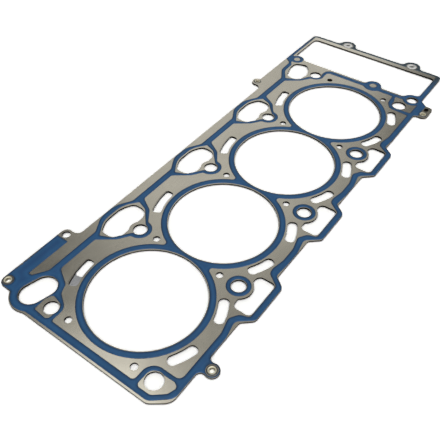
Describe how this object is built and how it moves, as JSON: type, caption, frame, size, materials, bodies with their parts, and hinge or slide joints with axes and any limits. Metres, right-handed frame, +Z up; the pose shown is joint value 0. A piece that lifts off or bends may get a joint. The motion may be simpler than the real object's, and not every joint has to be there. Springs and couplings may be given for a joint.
{
  "type": "cylinder head gasket",
  "caption": "Riveted multi-layer steel gasket with rubber seal beads, for the joint between an in-line cylinder head and its block.",
  "frame": {"origin": "axis of the first bore, at the face that lies on the cylinder block", "axes": "+X along the row of bores towards the timing case frame, +Y towards the upper ports, +Z up out of the block face"},
  "size_m": [0.4985, 0.1833, 0.0027],
  "materials": {
    "steel": "satin",
    "seal_rubber": "satin",
    "eyelet_brass": "satin",
    "eyelet_steel": "bright"
  },
  "bodies": {
    "root": {"top_sheet": "steel", "carrier_sheet": "steel", "bottom_sheet": "steel", "bore_seal_upper": "seal_rubber", "perimeter_seal_upper": "seal_rubber", "bolt_seals_upper": "seal_rubber", "bore_seal_lower": "seal_rubber", "perimeter_seal_lower": "seal_rubber", "bolt_seals_lower": "seal_rubber", "eyelets": "eyelet_brass", "lug_eyelets": "eyelet_steel"}
  },
  "joints": []
}
